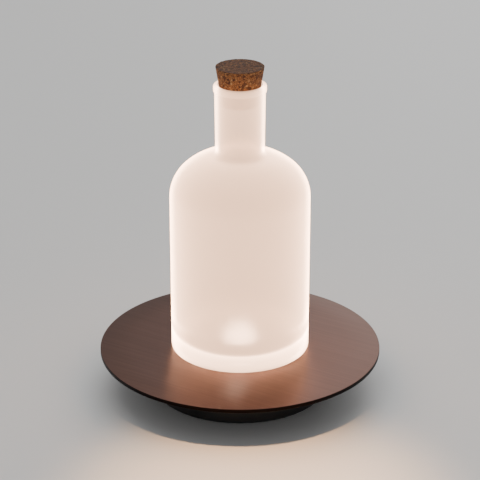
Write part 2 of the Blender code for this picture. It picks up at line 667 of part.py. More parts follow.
def make_service_panel(foot):
    """A flat, thicker stretch of the foot's wall, with openings for the inlet and the button."""
    low = BOARD_Z - PANEL_LOW_MARGIN
    half = math.sqrt(FOOT_INNER_RADIUS**2 - PANEL_INNER_Y**2) + PANEL_OVERLAP
    height = DECK_Z + 1 - low
    liner = block((2 * half, PANEL_LINER, height))
    apply_boolean(foot, liner, (0, PANEL_INNER_Y + PANEL_LINER / 2, low + height / 2), "UNION")
    reach = FOOT_RADIUS - PANEL_Y + 2
    pocket = block((4 * half, reach, PANEL_POCKET_HEIGHT))
    apply_boolean(foot, pocket, (0, PANEL_Y + reach / 2, low + PANEL_POCKET_HEIGHT / 2))
    port = stadium(INLET_WIDTH + 2 * PORT_CLEARANCE, INLET_HEIGHT + 2 * PORT_CLEARANCE, PANEL_THICKNESS + 3)
    apply_boolean(foot, port, (INLET_X, PANEL_Y + 1, SERVICE_Z))
    bore = rod_y(disc(BUTTON_RADIUS + BUTTON_CLEARANCE, -1, PANEL_THICKNESS + 2))
    apply_boolean(foot, bore, (BUTTON_X, PANEL_Y, SERVICE_Z))


def make_cover(parent):
    """The underside plate, with the board's standoffs, the battery's cradle and the foot ring's groove."""
    black = material("black moulded ABS", (0.02, 0.02, 0.02), 0.6)
    rubber = material("black silicone rubber", (0.02, 0.02, 0.02), 0.8)
    radius = FOOT_INNER_RADIUS - COVER_CLEARANCE
    pad_outer = radius - PAD_EDGE
    pad_inner = pad_outer - PAD_WIDTH
    groove = PAD_THICKNESS + GAP
    outline = [(0.0, PAD_PROUD), (pad_inner - GAP, PAD_PROUD), (pad_inner - GAP, groove),
               (pad_outer + GAP, groove), (pad_outer + GAP, PAD_PROUD), (radius, PAD_PROUD),
               (radius, COVER_TOP_Z), (0.0, COVER_TOP_Z)]
    cover = link("bottom_cover", spun(outline, 40), black, parent=parent)
    standoffs = circle_places(BOARD_SCREW_CIRCLE, BOARD_SCREW_ANGLES)
    for x, y in standoffs:
        post = spun(disc(STANDOFF_RADIUS, COVER_TOP_Z - 1, BOARD_Z - GAP), 20)
        apply_boolean(cover, post, (x, y, 0), "UNION")
    drill(cover, M25_PAN[0] + SCREW_CLEARANCE, standoffs, BOARD_Z - M25_PAN[3], BOARD_Z + 1)
    rib_x = BATTERY_SIZE[0] / 2 + GAP + CRADLE_WALL / 2
    for side in (-1, 1):
        rib = block((CRADLE_WALL, BATTERY_SIZE[1] / 2, CRADLE_HEIGHT + 1))
        apply_boolean(cover, rib, (side * rib_x, BATTERY_Y, COVER_TOP_Z + (CRADLE_HEIGHT - 1) / 2), "UNION")
    shank, head, height, _ = M3_PAN
    posts = circle_places(POST_CIRCLE, POST_ANGLES)
    drill(cover, shank + SCREW_CLEARANCE, posts, PAD_PROUD - 1, COVER_TOP_Z + 1)
    drill(cover, head + SCREW_CLEARANCE, posts, PAD_PROUD - 1, PAD_PROUD + height + GAP, HEAD_SIDES)
    screws("cover_screw", M3_PAN, POST_CIRCLE, POST_ANGLES, PAD_PROUD + height, steel(), parent, upward=True)
    pad = [(pad_inner, 0.0), (pad_outer, 0.0), (pad_outer, PAD_THICKNESS), (pad_inner, PAD_THICKNESS)]
    link("foot_pad", spun(pad, 40), rubber, parent=parent)


# Electronics


def make_board(parent):
    """The control board: a ring round the heat sink with a tongue that carries the inlet and the switch."""
    green = material("solder mask on glass epoxy", (0.02, 0.10, 0.05), 0.4)
    tongue = math.degrees(math.acos(TONGUE_HALF_WIDTH / BOARD_RADIUS))
    bm = bmesh.new()
    edge = [(-TONGUE_HALF_WIDTH, TONGUE_END_Y), *arc(0, 0, BOARD_RADIUS, 180 - tongue, 360 + tongue, 44),
            (TONGUE_HALF_WIDTH, TONGUE_END_Y)]
    face = bm.faces.new([bm.verts.new((x, y, BOARD_Z)) for x, y in edge])
    grown = bmesh.ops.extrude_face_region(bm, geom=[face])
    moved = [item for item in grown["geom"] if isinstance(item, bmesh.types.BMVert)]
    bmesh.ops.translate(bm, vec=(0, 0, BOARD_THICKNESS), verts=moved)
    bmesh.ops.recalc_face_normals(bm, faces=bm.faces)
    board = link("control_board", bm, green, parent=parent)
    drill(board, BOARD_HOLE_RADIUS, [(0, 0)], BOARD_Z - 1, BOARD_TOP_Z + 1, 48)
    holes = circle_places(BOARD_SCREW_CIRCLE, BOARD_SCREW_ANGLES)
    drill(board, M25_PAN[0] + SCREW_CLEARANCE, holes, BOARD_Z - 1, BOARD_TOP_Z + 1)
    slot_length = max(BATTERY_WIRE_Y) - min(BATTERY_WIRE_Y) + 2 * BATTERY_SLOT
    slot = block((2 * BATTERY_SLOT, slot_length, BOARD_THICKNESS + 2))
    apply_boolean(board, slot, (BATTERY_RISE_X, sum(BATTERY_WIRE_Y) / 2, BOARD_Z + BOARD_THICKNESS / 2))
    screws("board_screw", M25_PAN, BOARD_SCREW_CIRCLE, BOARD_SCREW_ANGLES, PARTS_Z, steel(), parent)


def on_board(name, size, x, y, finish, parent, edge=0.1):
    height = size[2]
    return link(name, block(size, edge), finish, (x, y, PARTS_Z + height / 2), parent)


def make_components(parent):
    chip = material("black epoxy", (0.015, 0.015, 0.015), 0.45)
    tinned = material("tinned steel can", (0.7, 0.7, 0.7), 0.3, metallic=1.0)
    ferrite = material("grey ferrite", (0.06, 0.06, 0.065), 0.7)
    nylon = material("white nylon", (0.8, 0.79, 0.75), 0.5)
    on_board("controller_module", CONTROLLER_SIZE, *CONTROLLER_PLACE, tinned, parent, 0.3)
    on_board("charger_chip", CHARGER_SIZE, *CHARGER_PLACE, chip, parent)
    on_board("led_driver_chip", DRIVER_SIZE, *DRIVER_PLACE, chip, parent)
    on_board("inductor", INDUCTOR_SIZE, *INDUCTOR_PLACE, ferrite, parent, 1.0)
    radius, height = CAPACITOR_SIZE
    neck = CAPACITOR_GROOVE
    can = [(0.0, 0.0), (radius, 0.0), (radius, 2 * neck), (radius - neck, 3 * neck), (radius, 4 * neck),
           (radius, height - neck), (radius - neck, height), (0.0, height)]
    link("capacitor", spun(can, 20), tinned, (*CAPACITOR_PLACE, PARTS_Z), parent)
    on_board("led_connector", CONNECTOR_SIZE, 0, LED_CONNECTOR_Y, nylon, parent, 0.3)
    width, depth, height = CONNECTOR_SIZE
    middle = sum(BATTERY_WIRE_Y) / 2
    on_board("battery_connector", (depth, width, height), BATTERY_CONNECTOR_X, middle, nylon, parent, 0.3)


def make_inlet(parent):
    tinned = material("nickel-plated steel", (0.65, 0.65, 0.66), 0.25, metallic=1.0)
    black = material("black liquid-crystal polymer", (0.02, 0.02, 0.02), 0.5)
    mouth = PANEL_INNER_Y - GAP
    shell = link("charging_inlet", stadium(INLET_WIDTH, INLET_HEIGHT, INLET_LENGTH), tinned,
                 (INLET_X, mouth, SERVICE_Z), parent)
    hollow = stadium(INLET_WIDTH - 2 * INLET_SHELL, INLET_HEIGHT - 2 * INLET_SHELL, INLET_LENGTH)
    apply_boolean(shell, hollow, (INLET_X, mouth + 1, SERVICE_Z))
    width, height, length = INLET_TONGUE
    back = mouth + 1 - INLET_LENGTH + GAP
    place = (INLET_X, back + length / 2, SERVICE_Z)
    link("inlet_tongue", block((width, length, height), 0.1), black, place, parent)


def make_switch(parent):
    black = material("black nylon", (0.02, 0.02, 0.02), 0.5)
    front = BUTTON_BACK_Y - GAP - PLUNGER_REACH
    height = 2 * (SERVICE_Z - PARTS_Z)
    body = block((SWITCH_WIDTH, SWITCH_LENGTH, height), 0.2)
    switch = link("switch_body", body, black, (BUTTON_X, front - SWITCH_LENGTH / 2, SERVICE_Z), parent)
    depth = PLUNGER_DEPTH + BUTTON_TRAVEL + GAP
    hole = rod_y(disc(PLUNGER_RADIUS + SCREW_CLEARANCE, -1, depth), 16)
    apply_boolean(switch, hole, (BUTTON_X, front, SERVICE_Z))


def make_button(place):
    """The cap, held behind the panel by its flange, and the switch's plunger that it pushes."""
    satin = material("satin black button", (0.03, 0.03, 0.03), 0.4)
    white = material("white acetal", (0.8, 0.8, 0.78), 0.4)
    flange = PANEL_THICKNESS + GAP
    back = flange + BUTTON_FLANGE_THICKNESS
    wide = BUTTON_RADIUS + BUTTON_FLANGE
    cap = [(0.0, -BUTTON_PROUD), (BUTTON_RADIUS - BUTTON_EDGE, -BUTTON_PROUD),
           (BUTTON_RADIUS, BUTTON_EDGE - BUTTON_PROUD), (BUTTON_RADIUS, flange), (wide, flange), (wide, back),
           (0.0, back)]
    link("button_cap", rod_y(cap), satin, (BUTTON_X, PANEL_Y, SERVICE_Z), place)
    start = back + GAP
    end = start + PLUNGER_REACH + PLUNGER_DEPTH
    link("switch_plunger", rod_y(disc(PLUNGER_RADIUS, start, end, 0.2), 16), white,
         (BUTTON_X, PANEL_Y, SERVICE_Z), place)


def make_battery(parent):
    foil = material("silver pouch foil", (0.6, 0.6, 0.62), 0.35, metallic=1.0)
    foam = material("grey foam tape", (0.2, 0.2, 0.2), 0.9)
    red = material("red wire sleeve", (0.5, 0.02, 0.02), 0.4)
    black = material("black wire sleeve", (0.02, 0.02, 0.02), 0.4)
    width, depth, height = BATTERY_SIZE
    pad = block((width - BATTERY_PAD_MARGIN, depth - BATTERY_PAD_MARGIN, BATTERY_PAD))
    link("battery_pad", pad, foam, (0, BATTERY_Y, BATTERY_PAD_Z + BATTERY_PAD / 2), parent)
    link("battery", block(BATTERY_SIZE, 1.0), foil, (0, BATTERY_Y, BATTERY_Z + height / 2), parent)
    low = BATTERY_Z + height / 2
    high = PARTS_Z + CONNECTOR_SIZE[2] / 2
    turn = BATTERY_RISE_X
    for name, y, sleeve in zip(("battery_wire_red", "battery_wire_black"), BATTERY_WIRE_Y, (red, black)):
        start = (width / 2 + GAP, y, low)
        end = (BATTERY_CONNECTOR_X - CONNECTOR_SIZE[1] / 2 - GAP, y, high)
        wire(name, [start, (turn, y, low), (turn, y, high), end], sleeve, parent)
    for name, x, sleeve in (("led_wire_red", -WIRE_PAIR, red), ("led_wire_black", WIRE_PAIR, black)):
        start = (x, LED_WIRE_Y, LED_BOARD_Z + LED_BOARD_THICKNESS - GAP)
        end = (x, LED_CONNECTOR_Y - CONNECTOR_SIZE[1] / 2 - GAP, LED_WIRE_DROP_Z)
        wire(name, [start, (x, LED_WIRE_Y, LED_WIRE_DROP_Z), end], sleeve, parent)


def steel():
    return bpy.data.materials.get("zinc-plated steel") or material(
        "zinc-plated steel", (0.6, 0.6, 0.62), 0.3, metallic=1.0)


def build():
    global CUTTER_FINISH
    clear_scene()
    CUTTER_FINISH = material("cutter", (1.0, 0.0, 1.0), 0.5)
    base = empty("base", (0, 0, 0))
    bottle_axis = empty("bottle_axis", (0, 0, BOTTLE_Z), base)
    button_axis = empty("button_axis", (BUTTON_X, PANEL_Y, SERVICE_Z), base)
    make_foot(base)
    make_cover(base)
    make_plate(base)
    make_seat_ring(base)
    make_heat_sink(base)
    make_led(base)
    make_lens(base)
    make_board(base)
    make_components(base)
    make_inlet(base)
    make_switch(base)
    make_battery(base)
    make_button(button_axis)
    make_bottle(bottle_axis)
    make_stopper(bottle_axis)


build()
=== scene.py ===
import json
import math

import bpy
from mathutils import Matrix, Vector

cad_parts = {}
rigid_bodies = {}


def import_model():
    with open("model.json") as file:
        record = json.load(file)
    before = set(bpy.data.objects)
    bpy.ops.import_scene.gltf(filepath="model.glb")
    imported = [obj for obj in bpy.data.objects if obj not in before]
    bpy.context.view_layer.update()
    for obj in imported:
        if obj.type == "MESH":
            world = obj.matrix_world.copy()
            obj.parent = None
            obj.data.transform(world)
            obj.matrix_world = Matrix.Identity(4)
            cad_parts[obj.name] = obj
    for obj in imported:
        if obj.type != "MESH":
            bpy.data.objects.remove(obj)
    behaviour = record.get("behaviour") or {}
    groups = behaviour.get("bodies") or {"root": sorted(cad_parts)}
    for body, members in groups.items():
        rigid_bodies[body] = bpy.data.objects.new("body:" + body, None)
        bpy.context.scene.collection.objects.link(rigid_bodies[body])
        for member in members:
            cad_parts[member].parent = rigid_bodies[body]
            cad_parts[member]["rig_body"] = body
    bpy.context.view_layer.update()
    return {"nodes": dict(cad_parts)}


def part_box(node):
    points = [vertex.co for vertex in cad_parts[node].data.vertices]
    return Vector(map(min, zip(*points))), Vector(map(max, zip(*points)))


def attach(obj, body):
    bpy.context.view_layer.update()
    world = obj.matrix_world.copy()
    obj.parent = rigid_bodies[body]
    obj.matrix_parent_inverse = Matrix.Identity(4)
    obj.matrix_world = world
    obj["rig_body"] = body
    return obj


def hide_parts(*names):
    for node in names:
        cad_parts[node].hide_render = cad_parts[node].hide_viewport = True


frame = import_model()
nodes = frame["nodes"]
mm = 0.001
print("frame loaded:", len(nodes), "nodes")


def linearColour(hexText):
    # sRGB hex to the linear colour that a shader socket takes
    channels = [int(hexText[i:i + 2], 16) / 255 for i in (0, 2, 4)]
    return (*[c / 12.92 if c <= 0.04045 else ((c + 0.055) / 1.055) ** 2.4 for c in channels], 1.0)


def addNode(tree, kind, links=None, values=None, **settings):
    # one node, its settings, its plain values and what feeds it
    node = tree.nodes.new(kind)
    for name, value in settings.items():
        setattr(node, name, value)
    for socket, value in (values or {}).items():
        node.inputs[socket].default_value = value
    for socket, source in (links or {}).items():
        tree.links.new(source, node.inputs[socket])
    return node


def patternScale(sizeMm):
    # the texture scale that makes a pattern repeat about once in this many millimetres
    return 1 / (sizeMm * mm)


def startMaterial(name, **values):
    # a new material: its tree, its shader and the piece's own coordinates
    material = bpy.data.materials.new(name)
    material.use_nodes = True
    tree = material.node_tree
    shader = tree.nodes["Principled BSDF"]
    for socket, value in values.items():
        shader.inputs[socket.replace("_", " ")].default_value = value
    place = addNode(tree, "ShaderNodeTexCoord").outputs["Object"]
    return material, tree, shader, place


def deselectAll():
    if bpy.context.object and bpy.context.object.mode != "OBJECT":
        bpy.ops.object.mode_set(mode="OBJECT")
    bpy.ops.object.select_all(action="DESELECT")


def makeActive(piece):
    deselectAll()
    piece.select_set(True)
    bpy.context.view_layer.objects.active = piece


def arcPoints(centreR, centreZ, radius, start, end, count):
    # (r, z) along an arc from one angle to another in degrees, both ends included
    turns = [math.radians(start + (end - start) * i / count) for i in range(count + 1)]
    return [(centreR + radius * math.cos(t), centreZ + radius * math.sin(t)) for t in turns]


def turnPiece(name, outline, steps, smooth):
    # the half outline is drawn point by point in millimetres, then spun about the lamp's axis,
    # and its faces are shaded smooth up to this many degrees
    deselectAll()
    bpy.ops.mesh.primitive_plane_add(size=10 * mm, location=(0, 0, 0))
    piece = bpy.context.object
    piece.name = piece.data.name = name
    bpy.ops.object.mode_set(mode="EDIT")
    bpy.ops.mesh.select_all(action="SELECT")
    bpy.ops.mesh.merge(type="CENTER")
    last = (0.0, 0.0)
    for count, point in enumerate(outline):
        step = ((point[0] - last[0]) * mm, 0, (point[1] - last[1]) * mm)
        if count == 0:
            bpy.ops.transform.translate(value=step)
        else:
            bpy.ops.mesh.extrude_vertices_move(TRANSFORM_OT_translate={"value": step})
        last = point
    bpy.ops.mesh.select_all(action="SELECT")
    bpy.ops.mesh.spin(steps=steps, angle=2 * math.pi, center=(0, 0, 0), axis=(0, 0, 1))
    bpy.ops.mesh.select_all(action="SELECT")
    bpy.ops.mesh.remove_doubles(threshold=2e-6)
    bpy.ops.mesh.dissolve_degenerate(threshold=1e-6)
    bpy.ops.mesh.select_all(action="SELECT")
    bpy.ops.mesh.normals_make_consistent(inside=False)
    bpy.ops.object.mode_set(mode="OBJECT")
    bpy.ops.object.shade_smooth_by_angle(angle=math.radians(smooth))
    return piece


def applyModifier(piece, kind, **settings):
    makeActive(piece)
    modifier = piece.modifiers.new(kind.title(), kind)
    for name, value in settings.items():
        setattr(modifier, name, value)
    bpy.ops.object.modifier_apply(modifier=modifier.name)


def finishPiece(piece, body, slotName, material, *replaced):
    # its material, the body it rides and the CAD nodes that it stands in for; the slot name is not used
    piece.data.materials.clear()
    piece.data.materials.append(material)
    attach(piece, body)
    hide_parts(*replaced)


# bottle: satin-etched soda-lime glass, sizes in millimetres

bottle = {
    "bodyWall": 3.0, "neckWall": 2.6, "baseThickness": 2.8,
    "shoulderStart": 101.8, "shoulderRadius": 25.6, "crownRadius": 40.7, "crownAngle": 49.0,
    "neckFillet": 3.0, "neckRadius": 15.3,
    "heelRound": 1.5, "bearingWidth": 6.5, "puntHeight": 13.3,
    "lipHeight": 4.4, "lipOverhang": 1.15, "lipLowRound": 0.7, "lipTopRound": 1.4,
    "flareDepth": 4.5, "flareTaper": 0.169, "mouthRound": 0.5,
    "floorTurn": 60.0, "floorRise": 0.5, "floorSpread": 1.0,
    "steps": 160,
    "skinTint": "fff6ee", "hollowShadeTint": "746a62", "glassIor": 1.12,
    "etchMm": 0.35, "cloudMm": 14.0, "roughLow": 0.56, "roughHigh": 0.64,
    "puntGloss": 0.5, "puntTop": 48.0, "puntFade": 4.0, "puntRadius": 42.0, "puntRise": 16.0,
    "wallGlow": "ffcda8", "wallGlowStrength": 575.0, "mirrorShare": 0.35,
    "skinGlow": "ffd6bd", "skinGlowStrength": 0.05,
}


def shoulderPoints(shape, radius, depth):
    # up the shoulder and into the neck, on a surface this far inside the outer one
    body = radius - shape["shoulderRadius"]
    first = shape["shoulderRadius"] - depth
    second = shape["crownRadius"] - depth
    start = math.radians(shape["crownAngle"])
    crownR = body + (first - second) * math.cos(start)
    crownZ = shape["shoulderStart"] + (first - second) * math.sin(start)
    fillet = shape["neckFillet"] + depth
    neck = shape["neckRadius"] - (shape["neckWall"] if depth else 0)
    filletR = neck + fillet
    filletZ = crownZ + math.sqrt((second + fillet) ** 2 - (filletR - crownR) ** 2)
    meet = math.degrees(math.atan2(filletZ - crownZ, filletR - crownR))
    return [
        *arcPoints(body, shape["shoulderStart"], first, 0, shape["crownAngle"], 14),
        *arcPoints(crownR, crownZ, second, shape["crownAngle"], meet, 10)[1:],
        *arcPoints(filletR, filletZ, fillet, 180 + meet, 180, 8)[1:],
    ]


def makeBottle(shape):
    low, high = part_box("bottle")
    radius = high.x / mm
    base = low.z / mm
    height = (high.z - low.z) / mm
    lipRadius = shape["neckRadius"] + shape["lipOverhang"]
    lipZ = height - shape["lipHeight"]
    punt = radius - shape["bearingWidth"]
    outer = [(punt * math.sin(math.radians(a)), shape["puntHeight"] * math.cos(math.radians(a)))
             for a in range(0, 91, 6)]
    outer += arcPoints(radius - shape["heelRound"], shape["heelRound"], shape["heelRound"], -90, 0, 6)
    outer += [(radius, z) for z in range(12, 100, 12)]
    outer += shoulderPoints(shape, radius, 0.0)
    outer += arcPoints(lipRadius - shape["lipLowRound"], lipZ + shape["lipLowRound"],
                       shape["lipLowRound"], -90, 0, 5)
    outer += arcPoints(lipRadius - shape["lipTopRound"], height - shape["lipTopRound"],
                       shape["lipTopRound"], 0, 90, 8)
    bore = shape["neckRadius"] - shape["neckWall"]
    mouth = bore + shape["flareTaper"] * shape["flareDepth"]
    wall = radius - shape["bodyWall"]
    spread = punt + shape["floorSpread"]
    rise = shape["puntHeight"] + shape["floorRise"]
    turn = math.radians(shape["floorTurn"])
    floorFoot = shape["baseThickness"] - shape["floorRise"]
    floorTurns = [turn * i / 12 for i in range(13)]
    floor = [(spread * math.sin(t), floorFoot + rise * math.cos(t)) for t in floorTurns]
    endR, endZ = floor[-1]
    slope = math.atan(rise / spread * math.tan(turn))
    valley = (wall - endR) / (1 + math.sin(slope))
    valleyZ = endZ + valley * math.cos(slope)
    rounding = shape["mouthRound"]
    inner = arcPoints(mouth + rounding, height - rounding, rounding, 90, 180, 4)
    inner += [(bore, height - shape["flareDepth"])]
    inner += shoulderPoints(shape, radius, shape["bodyWall"])[::-1]
    inner += [(wall, z) for z in range(96, 24, -12)]
    inner += arcPoints(wall - valley, valleyZ, valley, 0, -90 - math.degrees(slope), 8)
    inner += floor[-2::-1]
    outline = [(r, z + base) for r, z in outer + inner]
    return turnPiece("bottle_glass", outline, shape["steps"], 40)


def insideHollow(shape, face, floorZ):
    # the hollow's faces point at the axis on the walls and upwards on the floor
    centre, normal = face.center, face.normal
    outward = normal.x * centre.x + normal.y * centre.y
    overPunt = math.hypot(centre.x, centre.y) < shape["puntRadius"] * mm
    if overPunt and centre.z < floorZ + shape["puntRise"] * mm:
        return normal.z > 0 or (outward < 0 and centre.z > floorZ)
    return outward < 0 or (outward == 0 and normal.z < 0)


def satinGlass(look):
    # satin-etched soda-lime glass: milky, no clear view through it, its wall full of scattered light
    material, tree, shader, place = startMaterial(
        "satin-etched glass", Transmission_Weight=1.0, IOR=look["glassIor"],
        Emission_Color=linearColour(look["skinGlow"]), Emission_Strength=look["skinGlowStrength"])
    # etch grit of a few hundredths of a millimetre, drawn coarser so that it shows
    grit = addNode(tree, "ShaderNodeTexNoise", {"Vector": place},
                   {"Scale": patternScale(look["etchMm"]), "Detail": 3.0})
    cloud = addNode(tree, "ShaderNodeTexNoise", {"Vector": place},
                    {"Scale": patternScale(look["cloudMm"]), "Detail": 2.0})
    both = addNode(tree, "ShaderNodeMath", {0: grit.outputs["Fac"], 1: cloud.outputs["Fac"]},
                   operation="ADD")
    rough = addNode(tree, "ShaderNodeMapRange", {"Value": both.outputs["Value"]},
                    {"From Min": 0.7, "From Max": 1.3,
                     "To Min": look["roughLow"], "To Max": look["roughHigh"]})
    # the punt over the lamp is etched more lightly, so that the lit dome shows as a soft bright spot
    height = addNode(tree, "ShaderNodeSeparateXYZ", {"Vector": place})
    puntTop = look["puntTop"]
    level = addNode(tree, "ShaderNodeMapRange", {"Value": height.outputs["Z"]},
                    {"From Min": puntTop * mm, "From Max": (puntTop + look["puntFade"]) * mm,
                     "To Min": look["puntGloss"], "To Max": 1.0})
    etched = addNode(tree, "ShaderNodeMath", {0: rough.outputs["Result"], 1: level.outputs["Result"]},
                     operation="MULTIPLY")
    tree.links.new(etched.outputs["Value"], shader.inputs["Roughness"])
    # the faces inside the hollow take a darker grey-brown tint: painted shade that dims the light crossing
    # the hollow, so the middle of the bottle looks darker than its edges
    side = addNode(tree, "ShaderNodeAttribute", attribute_name="hollowSide")
    tint = addNode(tree, "ShaderNodeMix", {0: side.outputs["Fac"]},
                   {6: linearColour(look["skinTint"]), 7: linearColour(look["hollowShadeTint"])},
                   data_type="RGBA")
    tree.links.new(tint.outputs[2], shader.inputs["Base Color"])
    # light scattered in the wall itself, which is why the edges look brighter,
    # and which the plate mirrors more dimly than it is seen
    path = addNode(tree, "ShaderNodeLightPath")
    strength = addNode(tree, "ShaderNodeMapRange", {"Value": path.outputs["Glossy Depth"]},
                       {"To Min": look["wallGlowStrength"],
                        "To Max": look["wallGlowStrength"] * look["mirrorShare"]})
    glow = addNode(tree, "ShaderNodeEmission", {"Strength": strength.outputs["Result"]},
                   {"Color": linearColour(look["wallGlow"])})
    tree.links.new(glow.outputs["Emission"], tree.nodes["Material Output"].inputs["Volume"])
    return material


bottleGlass = makeBottle(bottle)
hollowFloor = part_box("bottle")[0].z + bottle["baseThickness"] * mm
hollowSide = bottleGlass.data.attributes.new("hollowSide", "FLOAT", "FACE")
for face in bottleGlass.data.polygons:
    hollowSide.data[face.index].value = float(insideHollow(bottle, face, hollowFloor))
finishPiece(bottleGlass, "bottle", "frosted_glass", satinGlass(bottle), "bottle")
print("bottle:", len(bottleGlass.data.polygons), "faces")


# stopper: agglomerated cork, sizes in millimetres

stopper = {
    "topRadius": 15.10, "footRadius": 10.90, "edge": 0.5, "rows": 40, "steps": 144,
    "pitDepth": 0.28, "topSink": 0.02, "ringStep": 0.6, "footStep": 1.2, "footRing": 9.4,
    "granuleMm": 1.5, "warpMm": 2.2, "warpShift": 1.1, "fleckMm": 0.5, "fleckTone": "6a6058",
    "dark": "5a3520", "mid": "a0673a", "pale": "c8935a", "binder": "2f1c11",
    "topShadeTone": "80766f", "topShadeStartMm": 0.5, "topShadeFullMm": 0.2,
}


def makeStopper(shape):
    low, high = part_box("stopper")
    foot, top = low.z / mm, high.z / mm - shape["topSink"]
    edge = shape["edge"]
    outline = [(shape["footStep"] * i, foot) for i in range(8)] + [(shape["footRing"], foot)]
    outline += arcPoints(shape["footRadius"] - edge, foot + edge, edge, -90, 0, 4)
    for row in range(1, shape["rows"]):
        share = row / shape["rows"]
        outline.append((shape["footRadius"] + (shape["topRadius"] - shape["footRadius"]) * share,
                        foot + edge + (top - foot - 2 * edge) * share))
    outline += arcPoints(shape["topRadius"] - edge, top - edge, edge, 0, 90, 4)
    outline += [(shape["topRadius"] - edge - shape["ringStep"] * i, top) for i in range(1, 24)]
    outline += [(0.0, top)]
    cork = turnPiece("cork_stopper", outline, shape["steps"], 50)
    granules = bpy.data.textures.new("cork granules", "VORONOI")
    granules.noise_scale = shape["granuleMm"] * mm
    applyModifier(cork, "DISPLACE", texture=granules, texture_coords="LOCAL",
                  strength=shape["pitDepth"] * mm, mid_level=1.0)
    return cork


def agglomeratedCork(look):
    # ground cork pressed with a dark binder: granules of several browns, matt, slightly open
    material, tree, shader, place = startMaterial("agglomerated cork")
    warp = addNode(tree, "ShaderNodeTexNoise", {"Vector": place},
                   {"Scale": patternScale(look["warpMm"]), "Detail": 3.0})
    shift = addNode(tree, "ShaderNodeVectorMath", {0: warp.outputs["Color"]},
                    {1: (look["warpShift"] * mm,) * 3}, operation="MULTIPLY")
    bent = addNode(tree, "ShaderNodeVectorMath", {0: place, 1: shift.outputs["Vector"]}, operation="ADD")
    cells = addNode(tree, "ShaderNodeTexVoronoi", {"Vector": bent.outputs["Vector"]},
                    {"Scale": patternScale(look["granuleMm"])})
    seams = addNode(tree, "ShaderNodeTexVoronoi", {"Vector": bent.outputs["Vector"]},
                    {"Scale": patternScale(look["granuleMm"])}, feature="DISTANCE_TO_EDGE")
    tone = addNode(tree, "ShaderNodeSeparateColor", {"Color": cells.outputs["Color"]})
    # a third of the granules run from dark to mid brown and a fifth from mid to pale
    darker = addNode(tree, "ShaderNodeMapRange", {"Value": tone.outputs["Red"]}, {"From Max": 0.35})
    paler = addNode(tree, "ShaderNodeMapRange", {"Value": tone.outputs["Red"]}, {"From Min": 0.8})
    deep = addNode(tree, "ShaderNodeMix", {0: darker.outputs["Result"]},
                   {6: linearColour(look["dark"]), 7: linearColour(look["mid"])}, data_type="RGBA")
    browns = addNode(tree, "ShaderNodeMix", {0: paler.outputs["Result"], 6: deep.outputs[2]},
                     {7: linearColour(look["pale"])}, data_type="RGBA")
    speck = addNode(tree, "ShaderNodeTexNoise", {"Vector": place},
                    {"Scale": patternScale(look["fleckMm"]), "Detail": 4.0})
    clear = addNode(tree, "ShaderNodeMapRange", {"Value": speck.outputs["Fac"]},
                    {"From Min": 0.32, "From Max": 0.6})
    fleck = addNode(tree, "ShaderNodeMix", {0: clear.outputs["Result"]},
                    {6: linearColour(look["fleckTone"]), 7: linearColour("ffffff")}, data_type="RGBA")
    mottled = addNode(tree, "ShaderNodeMix", {6: browns.outputs[2], 7: fleck.outputs[2]}, {0: 0.55},
                      data_type="RGBA", blend_type="MULTIPLY")
    shade = addNode(tree, "ShaderNodeMapRange", {"Value": seams.outputs["Distance"]},
                    {"From Max": 0.10})
    bound = addNode(tree, "ShaderNodeMix", {0: shade.outputs["Result"], 7: mottled.outputs[2]},
                    {6: linearColour(look["binder"])}, data_type="RGBA")
    # painted shade: the cut top is darker and greyer than the sides
    height = addNode(tree, "ShaderNodeSeparateXYZ", {"Vector": place})
    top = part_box("stopper")[1].z
    topShadeMask = addNode(tree, "ShaderNodeMapRange", {"Value": height.outputs["Z"]},
                    {"From Min": top - look["topShadeStartMm"] * mm,
                     "From Max": top - look["topShadeFullMm"] * mm, "To Max": 0.75})
    topShaded = addNode(tree, "ShaderNodeMix", {0: topShadeMask.outputs["Result"], 6: bound.outputs[2]},
                   {7: linearColour(look["topShadeTone"])}, data_type="RGBA", blend_type="MULTIPLY")
    tree.links.new(topShaded.outputs[2], shader.inputs["Base Color"])
    rough = addNode(tree, "ShaderNodeMapRange", {"Value": speck.outputs["Fac"]},
                    {"To Min": 0.82, "To Max": 0.98})
    tree.links.new(rough.outputs["Result"], shader.inputs["Roughness"])
    relief = addNode(tree, "ShaderNodeMath", {0: shade.outputs["Result"], 1: speck.outputs["Fac"]},
                     operation="ADD")
    bump = addNode(tree, "ShaderNodeBump", {"Height": relief.outputs["Value"]},
                   {"Strength": 0.55, "Distance": 0.25 * mm})
    tree.links.new(bump.outputs["Normal"], shader.inputs["Normal"])
    return material


cork = makeStopper(stopper)
finishPiece(cork, "stopper", "cork", agglomeratedCork(stopper), "stopper")
print("stopper:", len(cork.data.polygons), "faces")


# plate: brushed, bronze-brown anodised aluminium, sizes in millimetres

plate = {
    "chamfer": 0.3, "holeEdge": 0.15, "lightHole": 18.0,
    "grooveIn": 34.4, "grooveOut": 41.5, "grooveDepth": 0.8,
    "screwCircle": 26.2, "screwAngles": (90, 210, 330), "screwHole": 1.75, "screwHead": 3.15,
    "headDepth": 1.8, "headClear": 0.6, "headRim": 0.3, "steps": 240,
    "grainAngle": -32.0, "grainWidthMm": 0.4, "grainLengthMm": 26.0,
    "bandWidthMm": 1.6, "bandLengthMm": 120.0, "topFadeFrom": 0.25, "topFadeTo": 0.05,
    "dark": "5a423a", "light": "674c43", "edge": "120c0b", "roughLow": 0.36, "roughHigh": 0.44,
    "anisotropy": 0.75,
}


